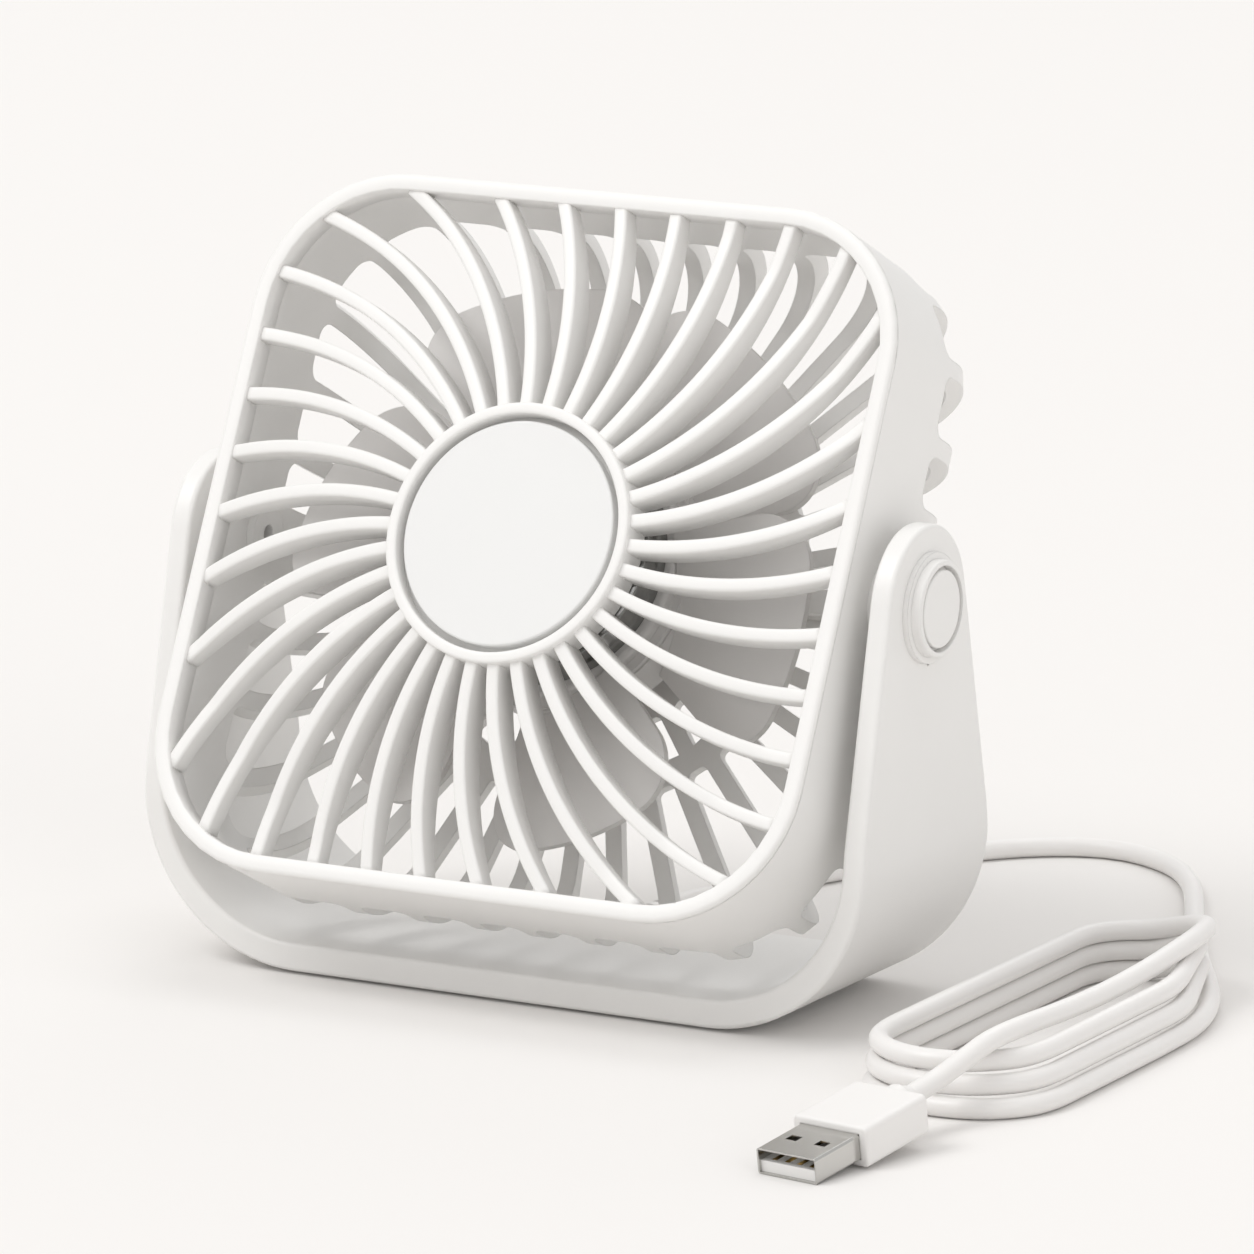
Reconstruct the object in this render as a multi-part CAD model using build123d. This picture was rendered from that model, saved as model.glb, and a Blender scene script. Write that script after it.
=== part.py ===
from build123d import *
import os
from math import asin, atan2, cos, degrees, hypot, pi, radians, sin, tan

# Square-faced desk fan in a U-shaped stand, with a USB lead wound beside it.
# Millimetres. X is the fan's right (as seen from the front), Y points back, Z up.
# The origin is the middle of the foot pad's underside, on the desk.

# ---- Driving dimensions -------------------------------------------------------
# Stand
STAND_W = 144.0          # outside width of the U
ARM_T = 4.1              # thickness of the arms
BASE_T = 5.2             # thickness of the base
STAND_CORNER_R = 30.5    # outside radius where base and arms meet
STAND_HALF_DEPTH = 24.0  # base depth, front and back of the pivot plane
ARM_TOP_R = 14.4         # rounded arm end, around the pivot
ARM_BLEND_R = 40.0       # where the arm's taper runs into the base
FOOT_GAP = 0.6           # height of the base's underside above the desk
PIVOT_Z = 73.5           # tilt axis above the desk
EDGE_R = 0.8             # broken outer edges of mouldings
# Head
HEAD_W = 128.0           # square face, side to side
HEAD_R = 26.2            # its corner radius
HEAD_LEAN = 26.0         # stored lean, degrees back from upright
FACE_N = 17.0            # face plane in front of the tilt axis
BACK_N = -20.5           # back plane behind the tilt axis
SHOULDER_R = 11.0        # rounding from side wall to back
WALL_T = 2.4             # side wall
BACK_T = 2.2             # back wall
BEZEL_T = 3.0            # flat rim around the face
BEZEL_DEPTH = 5.0        # how far back that rim keeps its thickness
# Front grille
RIB_COUNT = 34
RIB_W = 2.4
RIB_START = 0.8          # degrees, where the first rib leaves the hub
RIB_SWEEP_R = 70.0       # each rib is an arc of this radius, radial at the hub
HUB_RING_R = 23.5
HUB_RING_T = 2.0
HUB_RING_PROUD = 5.3     # hub ring face in front of the bezel
HUB_SKIRT_N = 15.0       # back end of the hub ring
MOUTH_T = 1.8            # side wall where the front moulding plugs in
SEAM_SET_BACK = 1.2      # seam round the side, behind the face
RIB_SET_BACK = 0.7       # ribs start this far behind the face
CAP_R = 20.3
# Back grille
BAR_COUNT = 36
BAR_W = 3.1
WINDOW_N = -4.5          # where the windows start on the side wall
OUTER_SLOT_R = 38.5
INNER_SLOT_R0 = 25.5
INNER_SLOT_R1 = 34.0
WINDOW_CORNER_R = 2.6
# Impeller and motor
BLADE_COUNT = 6
BLADE_TIP_R = 51.0
BLADE_T = 1.5
BLADE_SPAN = 54.0        # degrees that each blade covers
BLADE_FRONT_N = 8.0
BLADE_BACK_N = -7.5
HUB_R = 26.5             # moulded impeller hub
CAN_R = 23.0             # polished rotor can
CAN_T = 1.2
CAN_FRONT_N = 13.2
CAN_BACK_N = -6.5
SHAFT_R = 1.5
MAGNET_T = 1.9
AIR_GAP = 0.6
STATOR_TEETH = 9
BEARING_R = 4.0
BEARING_L = 5.0
TUBE_T = 1.0
# Pivot
BUSH_R = 3.5
BUSH_BORE_R = 1.6
BUSH_FLANGE_R = 5.1
BUSH_FLANGE_T = 1.5
HEAD_BOSS_R = 7.5
PIVOT_WEB_T = 2.4        # arm thickness left under the counterbore
PIVOT_BOSS_R = 9.7
PIVOT_BOSS_H = 1.0
PIVOT_RING_R = 8.5
PIVOT_RING_H = 1.8
PIVOT_RECESS_R = 7.5
PIVOT_CAP_R = 6.8
CLIP_R = 6.2
CLIP_T = 1.0
WASHER_T = 0.9
# Motor cover and button
COVER_R = 21.0
COVER_T = 1.6
COVER_DEPTH = 8.2
BUTTON_R = 6.0
BUTTON_FLANGE_R = 7.2
BUTTON_FLANGE_T = 0.8
BUTTON_PROUD = 0.8
BUTTON_TRAVEL = 0.6
BOARD_T = 1.0
BOARD_R = 17.0
# Cord
CORD_D = 3.6
LEAD_D = 1.2             # inner lead, in the stand and in the head
GLAND_R = 2.4
GLAND_Z = 3.7
GLAND_TAIL = 14.0
COIL_TURNS = 3
COIL_LEAN = 2.5          # degrees, the oval's far end towards the fan
# Plug
PLUG_AT = (99.0, -102.0, 2.27)
PLUG_TURN = -9.0
PLUG_NOSE_DOWN = 8.0
SHELL_W = 12.0
SHELL_H = 4.5
SHELL_L = 12.0
SHELL_T = 0.3
GRIP_W = 15.0
GRIP_H = 7.0
GRIP_L = 17.0
RELIEF_L = 4.5
# Named clearances
FIT = 0.05               # radial, running fits
SEAT = 0.1               # between pieces that clip together
SLIDE = 0.15             # around the button

# ---- Values worked out from them ----------------------------------------------
ARM_OUT_X = STAND_W / 2
ARM_IN_X = ARM_OUT_X - ARM_T
ARM_MID_X = ARM_OUT_X - ARM_T / 2
BASE_TOP_Z = FOOT_GAP + BASE_T
HEAD_SIDE_X = HEAD_W / 2
HEAD_INNER_X = HEAD_SIDE_X - WALL_T
WASHER_IN_X = ARM_IN_X - SEAT / 2 - WASHER_T
HEAD_BOSS_X = WASHER_IN_X - SEAT / 2
PIVOT_FLOOR_X = ARM_IN_X + PIVOT_WEB_T
PIVOT_BOSS_X = ARM_OUT_X + PIVOT_BOSS_H
PIVOT_RING_X = PIVOT_BOSS_X + PIVOT_RING_H
CLIP_X = PIVOT_FLOOR_X + SEAT / 2
BUSH_END_X = CLIP_X + CLIP_T
BUSH_IN_X = HEAD_INNER_X - BUSH_FLANGE_T
INNER_BACK_N = BACK_N + BACK_T
SEAM_N = FACE_N - SEAM_SET_BACK
HUB_FACE_N = FACE_N + HUB_RING_PROUD
MAGNET_R = CAN_R - CAN_T
STATOR_R = MAGNET_R - MAGNET_T - AIR_GAP
TUBE_R = BEARING_R + TUBE_T
COVER_BACK_N = BACK_N - COVER_DEPTH
CORD_R = CORD_D / 2

lean = radians(HEAD_LEAN)
HEAD = Plane(origin=(0, 0, PIVOT_Z), x_dir=(1, 0, 0), z_dir=(0, -cos(lean), sin(lean))).location
PLUG = Pos(*PLUG_AT) * Rot(0, 0, PLUG_TURN) * Rot(PLUG_NOSE_DOWN, 0, 0)


# ---- Helpers -------------------------------------------------------------------
def disc(radius, low, high, at=(0, 0)):
    """Round solid along the local Z, between two heights."""
    return Pos(at[0], at[1], low) * Cylinder(radius, high - low, align=(Align.CENTER, Align.CENTER, Align.MIN))


def tube(outer, inner, low, high):
    """Round sleeve along the local Z."""
    return disc(outer, low, high) - disc(inner, low - 1, high + 1)


def block(x, y, z):
    """Box between two limits on each axis."""
    size = (x[1] - x[0], y[1] - y[0], z[1] - z[0])
    middle = ((x[0] + x[1]) / 2, (y[0] + y[1]) / 2, (z[0] + z[1]) / 2)
    return Pos(*middle) * Box(*size)


def along_x(part):
    """Lay a part made along Z onto the pivot axis, pointing to +X."""
    return Pos(0, 0, PIVOT_Z) * Rot(0, 90, 0) * part


def both_sides(part):
    """A part and its mirror image in the YZ plane."""
    return part + mirror(part, Plane.YZ)


def round_square(size, radius, low, high):
    """Rounded square prism between two heights."""
    return Pos(0, 0, low) * extrude(RectangleRounded(size, size, radius), high - low)


def corner_radii(points):
    """Arc radius for each corner of a route, from its shorter run and its turn."""
    radii = []
    for a, b, c in zip(points, points[1:], points[2:]):
        run_in = Vector(*b) - Vector(*a)
        run_out = Vector(*c) - Vector(*b)
        half_turn = radians(run_in.get_angle(run_out)) / 2
        radii.append(0.45 * min(run_in.length, run_out.length) / tan(half_turn))
    return radii


def swept_tube(path, radius):
    """Round tube along a path."""
    start = Plane(origin=path @ 0, z_dir=path % 0)
    return sweep(start * Circle(radius), path=path)


def cord_tube(name, points):
    """Plain tube of the cord's diameter along a route, with its radii and volume printed."""
    radii = corner_radii(points)
    path = FilletPolyline(*points, radius=radii)
    solid = swept_tube(path, CORD_R)
    expected = pi * CORD_R**2 * path.length
    print(name, "radii", [round(r, 1) for r in radii], "length", round(path.length, 1))
    print(name, "volume over section times length", round(solid.volume / expected, 4))
    return solid


# ---- Stand -----------------------------------------------------------------------
def arm_profile():
    """Side view of the stand: full depth at the base, tapering to the rounded arm end."""
    foot = BASE_TOP_Z + STAND_CORNER_R - ARM_T
    rise = PIVOT_Z - foot
    reach = hypot(STAND_HALF_DEPTH, rise)
    side = atan2(rise, -STAND_HALF_DEPTH) - asin(ARM_TOP_R / reach)
    touch_y = ARM_TOP_R * sin(side)
    touch_z = PIVOT_Z - ARM_TOP_R * cos(side)
    outline = make_face([
        Line((-touch_y, touch_z), (-STAND_HALF_DEPTH, foot)),
        Line((-STAND_HALF_DEPTH, foot), (-STAND_HALF_DEPTH, 0)),
        Line((-STAND_HALF_DEPTH, 0), (STAND_HALF_DEPTH, 0)),
        Line((STAND_HALF_DEPTH, 0), (STAND_HALF_DEPTH, foot)),
        Line((STAND_HALF_DEPTH, foot), (touch_y, touch_z)),
        ThreePointArc((touch_y, touch_z), (0, PIVOT_Z + ARM_TOP_R), (-touch_y, touch_z)),
    ])
    kinks = [v for v in outline.vertices() if abs(v.Y - foot) < 1]
    return Plane.YZ * fillet(kinks, ARM_BLEND_R)


def lead_path():
    """The inner lead's way: right pivot, down the arm, along the base, back to the gland."""
    pivot_out = PIVOT_BOSS_X - 0.6
    points = [
        (HEAD_BOSS_X, 0, PIVOT_Z),
        (pivot_out, 0, PIVOT_Z),
        (pivot_out, 0, PIVOT_Z - PIVOT_RECESS_R + 0.5),
        (ARM_MID_X, 0, PIVOT_Z - PIVOT_RECESS_R - 6),
        (ARM_MID_X, 0, GLAND_Z),
        (0, 0, GLAND_Z),
        (0, STAND_HALF_DEPTH - 8, GLAND_Z),
    ]
    corner = STAND_CORNER_R - ARM_T / 2
    return FilletPolyline(*points, radius=[2.2, 2.0, 4.0, corner, 5.0])


def stand_frame():
    """The U-shaped stand, moulded in one piece around the inner lead."""
    height = PIVOT_Z + ARM_TOP_R
    outline = Pos(0, FOOT_GAP + height / 2) * Rectangle(STAND_W, height)
    outline = fillet(outline.vertices().group_by(Axis.Y)[0], STAND_CORNER_R)
    hollow = Pos(0, BASE_TOP_Z + height / 2) * Rectangle(STAND_W - 2 * ARM_T, height)
    hollow = fillet(hollow.vertices().group_by(Axis.Y)[0], STAND_CORNER_R - ARM_T)
    band = extrude(Plane.XZ * (outline - hollow), STAND_HALF_DEPTH, both=True)
    frame = band & extrude(arm_profile(), STAND_W, both=True)
    across = frame.edges().filter_by(GeomType.LINE).filter_by(lambda e: e.length < 1.1 * ARM_T)
    seams = frame.edges().filter_by(Axis.Y)
    frame = fillet(frame.edges() - across - seams, EDGE_R)
    gland_boss = block((-5, 5), (10, STAND_HALF_DEPTH), (FOOT_GAP + 1, GLAND_Z + GLAND_R + 0.7))
    frame += fillet(gland_boss.edges().group_by(Axis.Z)[-1], EDGE_R)
    rings = disc(PIVOT_BOSS_R, ARM_MID_X, PIVOT_BOSS_X) + disc(PIVOT_RING_R, ARM_MID_X, PIVOT_RING_X)
    rings = fillet(rings.edges().filter_by(GeomType.CIRCLE).group_by(Axis.Z)[-1], 0.4)
    frame += both_sides(along_x(rings))
    bores = disc(BUSH_R + FIT, ARM_IN_X - 1, ARM_OUT_X) + disc(PIVOT_RECESS_R, PIVOT_FLOOR_X, PIVOT_RING_X + 1)
    frame -= both_sides(along_x(bores))
    frame -= swept_tube(lead_path(), LEAD_D / 2 + SEAT)
    frame -= pad_solid(SEAT)
    frame -= gland_solid(SEAT)
    return frame


def pad_solid(gap):
    """The foot pad, or with a gap the pocket that it is glued into."""
    half_x = STAND_W / 2 - STAND_CORNER_R - 2
    half_y = STAND_HALF_DEPTH - 5
    plan = RectangleRounded(2 * half_x + 2 * gap, 2 * half_y + 2 * gap, 4)
    return extrude(plan, 2 * FOOT_GAP + (gap and SEAT / 2))


def gland_solid(gap):
    """Strain relief at the back of the base, or with a gap the hole it snaps into."""
    root = STAND_HALF_DEPTH
    collar = disc(GLAND_R - 0.9 + gap, root - 8, root)
    lock = disc(GLAND_R + gap, root - 6, root - 3 + gap)
    if gap:
        return Pos(0, 0, GLAND_Z) * Rot(-90, 0, 0) * (collar + lock)
    flange = disc(GLAND_R + 0.3, root + SEAT, root + 1.6)
    tail = Pos(0, 0, root + 1.6) * Cone(
        GLAND_R, CORD_R + 0.35, GLAND_TAIL - 1.6, align=(Align.CENTER, Align.CENTER, Align.MIN)
    )
    relief = collar + disc(GLAND_R - 0.9, root, root + SEAT) + lock + flange + tail
    for step in range(3):
        low = root + 3.5 + 3.2 * step
        relief -= tube(GLAND_R + 1, CORD_R + 0.15, low, low + 1.1)
    return Pos(0, 0, GLAND_Z) * Rot(-90, 0, 0) * relief


def pivot_cap():
    """Snap-in disc that covers the pivot, with a skirt notched for the lead."""
    face_x = PIVOT_RING_X - SEAT
    cap = disc(PIVOT_CAP_R, face_x - 1.4, face_x)
    cap = fillet(cap.edges().group_by(Axis.Z)[-1], 0.3)
    skirt = tube(PIVOT_RECESS_R - FIT, PIVOT_RECESS_R - 1.0, BUSH_END_X + 0.2, face_x - 1.4)
    cap += skirt + disc(PIVOT_RECESS_R - FIT, face_x - 1.7, face_x - 1.4)
    return cap - block((1, PIVOT_RECESS_R + 1), (-1.6, 1.6), (BUSH_END_X, face_x - 1.7))


def pivot_washers():
    washer = tube(HEAD_BOSS_R, BUSH_R + FIT + SEAT, WASHER_IN_X, WASHER_IN_X + WASHER_T)
    return both_sides(along_x(washer))


# ---- Head: housing and grille -----------------------------------------------------
def slot(inner_r, outer_r, half_pitch, low, high):
    """Wedge between two straight radial bars, along local +X."""
    spread = tan(radians(half_pitch))
    offset = BAR_W / 2 / cos(radians(half_pitch))
    near = inner_r * spread - offset
    far = outer_r * spread - offset
    plan = Polygon((inner_r, -near), (outer_r, -far), (outer_r, far), (inner_r, near), align=None)
    plan = fillet(plan.vertices().group_by(Axis.X)[0], min(1.2, 0.8 * near))
    return Pos(0, 0, low) * extrude(plan, high - low)


def back_windows():
    """All the openings of the back grille."""
    half_pitch = 180 / BAR_COUNT
    reach = HEAD_W
    wall = slot(HEAD_SIDE_X - 1.3 * SHOULDER_R, reach, half_pitch, BACK_N - 2, WINDOW_N)
    top = wall.edges().group_by(Axis.Z)[-1].sort_by(Edge.length)[-2:]
    wall = fillet(top, WINDOW_CORNER_R)
    full = wall + slot(OUTER_SLOT_R, reach, half_pitch, BACK_N - 2, INNER_BACK_N + 1)
    inner = slot(INNER_SLOT_R0, INNER_SLOT_R1, 2 * half_pitch, BACK_N - 2, WINDOW_N)
    cutters = []
    for k in range(BAR_COUNT):
        if k % (BAR_COUNT // 2):
            cutters.append(Rot(0, 0, 2 * k * half_pitch) * full)
        if k % 2:
            cutters.append(Rot(0, 0, 2 * (k + 1) * half_pitch) * inner)
    return cutters


def housing():
    """Deep square housing: side wall, rounded shoulder and back grille."""
    body = round_square(HEAD_W, HEAD_R, BACK_N, SEAM_N)
    body = fillet(body.edges().group_by(Axis.Z)[0], SHOULDER_R)
    cavity = round_square(HEAD_W - 2 * WALL_T, HEAD_R - WALL_T, INNER_BACK_N, FACE_N - BEZEL_DEPTH)
    cavity = fillet(cavity.edges().group_by(Axis.Z)[0], SHOULDER_R)
    mouth = round_square(HEAD_W - 2 * MOUTH_T, HEAD_R - MOUTH_T, FACE_N - BEZEL_DEPTH, FACE_N + 1)
    body -= cavity
    body -= mouth
    body -= back_windows()
    boss = Rot(0, 90, 0) * disc(HEAD_BOSS_R, HEAD_INNER_X, HEAD_BOSS_X)
    bore = Rot(0, 90, 0) * disc(BUSH_R, HEAD_INNER_X - 1, HEAD_BOSS_X + 1)
    body += both_sides(boss)
    body -= both_sides(bore)
    seat = tube(TUBE_R + 2, TUBE_R, INNER_BACK_N, INNER_BACK_N + 2.5)
    body += seat
    notch = block((10, 13), (-1.2, 1.2), (BACK_N - 1, INNER_BACK_N + 1))
    posts = [disc(2.4, BACK_N - 4, BACK_N, at) for at in screw_places()]
    body += posts
    body -= [disc(0.9, BACK_N - 4.5, BACK_N + 1, at) for at in screw_places()]
    return HEAD * (body - notch)


def screw_places():
    """Three screw places on the back plate, shared by the cover and its posts."""
    places = []
    for k in range(3):
        angle = radians(90 + 120 * k)
        places.append((15.5 * cos(angle), 15.5 * sin(angle)))
    return places


def rib_plan():
    """One spiral rib in the face plane, starting at the hub ring."""
    start = HUB_RING_R - HUB_RING_T / 2
    centre = (start, RIB_SWEEP_R)
    outer = CenterArc(centre, RIB_SWEEP_R + RIB_W / 2, -90, 52)
    inner = CenterArc(centre, RIB_SWEEP_R - RIB_W / 2, -90, 52)
    return make_face([outer, Line(outer @ 1, inner @ 1), inner, Line(inner @ 0, outer @ 0)])


def rib_dome():
    """Body of revolution that sets the ribs' front and back faces."""
    hub_r = HUB_RING_R - HUB_RING_T
    wall_r = HEAD_W / 2
    front_hub = HUB_FACE_N - 1.0
    front_wall = FACE_N - RIB_SET_BACK
    back_wall = FACE_N - BEZEL_DEPTH + 0.4
    middle_r = (hub_r + wall_r) / 2
    far_r = HEAD_W * 0.66
    with BuildPart() as dome:
        with BuildSketch(Plane.XZ):
            with BuildLine():
                ThreePointArc(
                    (hub_r, front_hub),
                    (middle_r, (front_hub + front_wall) / 2 + 0.5),
                    (wall_r, front_wall),
                )
                Polyline(
                    (wall_r, front_wall),
                    (far_r, front_wall),
                    (far_r, back_wall),
                    (wall_r, back_wall),
                )
                ThreePointArc(
                    (wall_r, back_wall),
                    (middle_r, (back_wall + HUB_SKIRT_N) / 2 - 0.6),
                    (hub_r, HUB_SKIRT_N),
                )
                Line((hub_r, HUB_SKIRT_N), (hub_r, front_hub))
            make_face()
        revolve(axis=Axis.Z)
    return dome.part


def front_grille():
    """Front moulding: bezel with its spigot, spiral ribs and hub ring."""
    low = FACE_N - BEZEL_DEPTH + SEAT
    spigot_in = MOUTH_T + SEAT
    rim = round_square(HEAD_W, HEAD_R, SEAM_N + FIT, FACE_N)
    rim = fillet(rim.edges().group_by(Axis.Z)[-1], EDGE_R)
    rim += round_square(HEAD_W - 2 * spigot_in, HEAD_R - spigot_in, low, FACE_N - EDGE_R)
    rim -= round_square(HEAD_W - 2 * BEZEL_T, HEAD_R - BEZEL_T, low - 1, FACE_N + 1)
    one = Pos(0, 0, low - 1) * extrude(rib_plan(), HUB_FACE_N - low)
    ribs = Compound([Rot(0, 0, RIB_START + 360 * k / RIB_COUNT) * one for k in range(RIB_COUNT)])
    limits = rib_dome() & round_square(HEAD_W - 2 * BEZEL_T + 0.8, HEAD_R - BEZEL_T + 0.4, 0, HUB_FACE_N + 1)
    ribs = ribs & limits
    ring = tube(HUB_RING_R, HUB_RING_R - HUB_RING_T, HUB_SKIRT_N, HUB_FACE_N)
    ring = fillet(ring.edges().group_by(Axis.Z)[-1], 0.5)
    web_low = HUB_FACE_N - 4.6
    ring += disc(HUB_RING_R - HUB_RING_T + 0.5, web_low, web_low + 1.4) - disc(2 + FIT, web_low - 1, web_low + 2)
    return HEAD * (rim + ribs + ring)


def hub_cap():
    """Plain badge disc in the middle of the grille, with a peg."""
    seat_n = HUB_FACE_N - 3.2
    cap = disc(CAP_R, seat_n, HUB_FACE_N - 0.7)
    cap = fillet(cap.edges().group_by(Axis.Z)[-1], 0.4)
    return HEAD * (cap + disc(2.0, seat_n - 2.2, seat_n))


# ---- Impeller and motor --------------------------------------------------------------
def blade():
    """One broad blade: a ruled slab trimmed to a rounded sector."""
    half = radians(BLADE_SPAN / 2)
    sections = []
    for radius in (HUB_R - 5, BLADE_TIP_R + 3):
        reach = radius * tan(half) + 1.5
        rise = (BLADE_FRONT_N - BLADE_BACK_N - BLADE_T) / 2
        middle = (BLADE_FRONT_N + BLADE_BACK_N) / 2
        with BuildSketch(Plane(origin=(radius, 0, middle), x_dir=(0, 1, 0), z_dir=(1, 0, 0))) as section:
            with BuildLine():
                top = ThreePointArc(
                    (-reach, -rise + BLADE_T / 2),
                    (0, 1.6 + BLADE_T / 2),
                    (reach, rise + BLADE_T / 2),
                )
                low = ThreePointArc(
                    (-reach, -rise - BLADE_T / 2),
                    (0, 1.6 - BLADE_T / 2),
                    (reach, rise - BLADE_T / 2),
                )
                Line(top @ 0, low @ 0)
                Line(top @ 1, low @ 1)
            make_face()
        sections.append(section.sketch)
    slab = loft(sections, ruled=True)
    root_r = HUB_R - 1.5
    corners = [(root_r * cos(a), root_r * sin(a)) for a in (-half, half)]
    tips = [(BLADE_TIP_R * cos(a), BLADE_TIP_R * sin(a)) for a in (-half, half)]
    plan = make_face([
        Line(corners[0], tips[0]),
        ThreePointArc(tips[0], (BLADE_TIP_R, 0), tips[1]),
        Line(tips[1], corners[1]),
        ThreePointArc(corners[1], (root_r, 0), corners[0]),
    ])
    tip_corners = plan.vertices().sort_by(lambda v: hypot(v.X, v.Y))[-2:]
    plan = fillet(tip_corners, 9.0)
    return slab & (Pos(0, 0, BLADE_BACK_N - 3) * extrude(plan, BLADE_FRONT_N - BLADE_BACK_N + 6))


def impeller():
    """Moulded impeller: hub band pressed on the rotor can, with broad blades."""
    hub = tube(HUB_R, CAN_R, BLADE_BACK_N + 0.5, 3.0) + tube(HUB_R - 1.6, CAN_R, 3.0, 5.5)
    hub = fillet(hub.edges().filter_by(GeomType.CIRCLE).group_by(Axis.Z)[-1].sort_by(Edge.length)[-1:], 1.0)
    hub -= tube(HUB_R + 1, HUB_R - 0.5, 1.4, 1.9)
    one = blade()
    blades = [Rot(0, 0, 49 + 360 * k / BLADE_COUNT) * one for k in range(BLADE_COUNT)]
    return HEAD * (hub + blades)


def rotor_can():
    """Polished steel can that carries the magnet, closed at the front."""
    can = disc(CAN_R, CAN_BACK_N, CAN_FRONT_N)
    can = fillet(can.edges().group_by(Axis.Z)[-1], 1.0)
    can -= disc(MAGNET_R, CAN_BACK_N - 1, CAN_FRONT_N - CAN_T)
    can += disc(3.5, CAN_FRONT_N - CAN_T - 3.5, CAN_FRONT_N - CAN_T)
    return HEAD * (can - disc(SHAFT_R, -20, CAN_FRONT_N - 0.6))


def ring_magnet():
    return HEAD * tube(MAGNET_R, MAGNET_R - MAGNET_T, CAN_BACK_N + 0.8, CAN_FRONT_N - CAN_T - 2)


def motor_shaft():
    shaft = disc(SHAFT_R, INNER_BACK_N + 0.6, CAN_FRONT_N - 0.6)
    return HEAD * (shaft - tube(SHAFT_R + 1, SHAFT_R - 0.3, INNER_BACK_N + 1.4, INNER_BACK_N + 1.9))


def shaft_clip():
    """Split washer in the shaft's groove, behind the rear bearing."""
    clip = tube(3.0, SHAFT_R - 0.3, INNER_BACK_N + 1.4, INNER_BACK_N + 1.9)
    return HEAD * (clip - block((0, 4), (-0.6, 0.6), (INNER_BACK_N, INNER_BACK_N + 3)))


def bearing_tube():
    """Brass tube that holds both bearings, pressed into the housing."""
    return HEAD * tube(TUBE_R, BEARING_R, INNER_BACK_N, 6.5)


def bearing(low):
    """Sintered sleeve bearing."""
    sleeve = tube(BEARING_R, SHAFT_R + FIT, low, low + BEARING_L)
    return HEAD * chamfer(sleeve.edges().filter_by(GeomType.CIRCLE).sort_by(Edge.length)[:2], 0.2)


def stator_core():
    """Laminated stator with T-shaped teeth."""
    low, high = -3.5, 4.5
    core = tube(TUBE_R + 3, TUBE_R, low, high)
    rim = tube(STATOR_R, STATOR_R - 1.6, low, high)
    pitch = 360 / STATOR_TEETH
    teeth = []
    gaps = []
    for k in range(STATOR_TEETH):
        teeth.append(Rot(0, 0, k * pitch) * block((TUBE_R + 2, STATOR_R - 0.8), (-1.5, 1.5), (low, high)))
        gaps.append(Rot(0, 0, (k + 0.5) * pitch) * block((STATOR_R - 3, STATOR_R + 1), (-1, 1), (low - 1, high + 1)))
    return HEAD * (core + (rim - gaps) + teeth)


def stator_coils():
    """Copper winding around each tooth."""
    coils = []
    for k in range(STATOR_TEETH):
        loop = block((TUBE_R + 3.6, STATOR_R - 2.2), (-2.7, 2.7), (-4.9, 5.9))
        loop -= block((TUBE_R + 3, STATOR_R - 2), (-1.5, 1.5), (-3.5, 4.5))
        coils.append(Rot(0, 0, k * 360 / STATOR_TEETH) * loop)
    return HEAD * Compound(coils)


def driver_board():
    """Ring-shaped driver board under the stator."""
    return HEAD * (tube(14.0, TUBE_R, INNER_BACK_N + 2.5, INNER_BACK_N + 3.5))


# ---- Pivot pieces on the head ----------------------------------------------------------
def pivot_bush():
    """Hollow bush: flange inside the wall, shank through the arm."""
    bush = disc(BUSH_FLANGE_R, BUSH_IN_X, HEAD_INNER_X) + disc(BUSH_R, BUSH_IN_X, BUSH_END_X)
    bush -= disc(BUSH_BORE_R, BUSH_IN_X - 1, BUSH_END_X + 1)
    return bush - tube(BUSH_R + 1, BUSH_R - 0.4, CLIP_X, CLIP_X + CLIP_T)


def pivot_clips():
    """Retaining clips in the bushes' end grooves."""
    clip = tube(CLIP_R, BUSH_R - 0.4, CLIP_X, CLIP_X + CLIP_T)
    clip -= block((-CLIP_R - 1, 0), (-1.2, 1.2), (CLIP_X - 1, CLIP_X + CLIP_T + 1))
    return both_sides(along_x(clip))


# ---- Electrics in the motor cover -----------------------------------------------------
def motor_cover():
    """Round cover on the back, over the control board."""
    cover = disc(COVER_R, COVER_BACK_N, BACK_N)
    cover = fillet(cover.edges().group_by(Axis.Z)[0], 3.0)
    cover -= disc(COVER_R - COVER_T, COVER_BACK_N + COVER_T, BACK_N + 1)
    for at in screw_places():
        cover += disc(2.4, COVER_BACK_N + COVER_T - 0.2, BACK_N - 4 - SEAT, at)
        cover -= disc(1.2, COVER_BACK_N - 1, BACK_N, at)
        cover -= disc(1.9, COVER_BACK_N - 1, COVER_BACK_N + 1.5, at)
    return HEAD * (cover - disc(BUTTON_R + SLIDE, COVER_BACK_N - 1, BACK_N))


def cover_screws():
    """Self-tapping screws through the cover into the housing's posts."""
    screws = []
    for x, y in screw_places():
        screw = disc(1.8, COVER_BACK_N + 0.3, COVER_BACK_N + 1.5, (x, y))
        screw += disc(0.9, COVER_BACK_N + 1.5, BACK_N - 0.5, (x, y))
        screw -= block((x - 1.2, x + 1.2), (y - 0.2, y + 0.2), (COVER_BACK_N, COVER_BACK_N + 0.8))
        screw -= block((x - 0.2, x + 0.2), (y - 1.2, y + 1.2), (COVER_BACK_N, COVER_BACK_N + 0.8))
        screws.append(screw)
    return HEAD * Compound(screws)


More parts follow.
